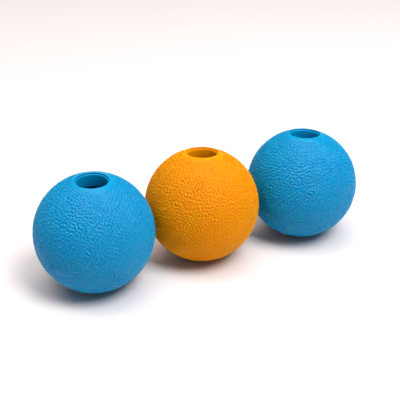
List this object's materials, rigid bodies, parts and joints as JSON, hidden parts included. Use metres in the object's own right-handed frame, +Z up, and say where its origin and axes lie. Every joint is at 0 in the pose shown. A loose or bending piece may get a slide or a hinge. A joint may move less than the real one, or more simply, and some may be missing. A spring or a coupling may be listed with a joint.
{
  "type": "rubber ball set",
  "caption": "Loose hollow rubber balls with a wrinkled grain, each with one round stepped mouth into its cavity, lying in a nearly straight, almost touching row.",
  "frame": {"origin": "on the surface that the balls lie on, in the middle of the row's footprint, 1.3 mm in front of the middle ball's lowest point", "axes": "+X along the row, towards the right ball, +Z up, towards the mouths, +Y across the row"},
  "size_m": [0.194, 0.0666, 0.0632],
  "materials": {
    "blue_rubber": "satin, moulded with a wrinkled grain",
    "orange_rubber": "satin, moulded with a wrinkled grain"
  },
  "bodies": {
    "middle_ball": {"middle_ball_upper_half": "orange_rubber", "middle_ball_lower_half": "orange_rubber"},
    "left_ball": {"left_ball_upper_half": "blue_rubber", "left_ball_lower_half": "blue_rubber"},
    "right_ball": {"right_ball_upper_half": "blue_rubber", "right_ball_lower_half": "blue_rubber"}
  },
  "joints": [
    {"name": "left_ball_rolls_away", "type": "slide", "parent": "middle_ball", "child": "left_ball", "axis": [-1, 0, 0], "range_m": [0, 0.201]},
    {"name": "right_ball_rolls_away", "type": "slide", "parent": "middle_ball", "child": "right_ball", "axis": [1, 0, 0], "range_m": [0, 0.201]}
  ]
}
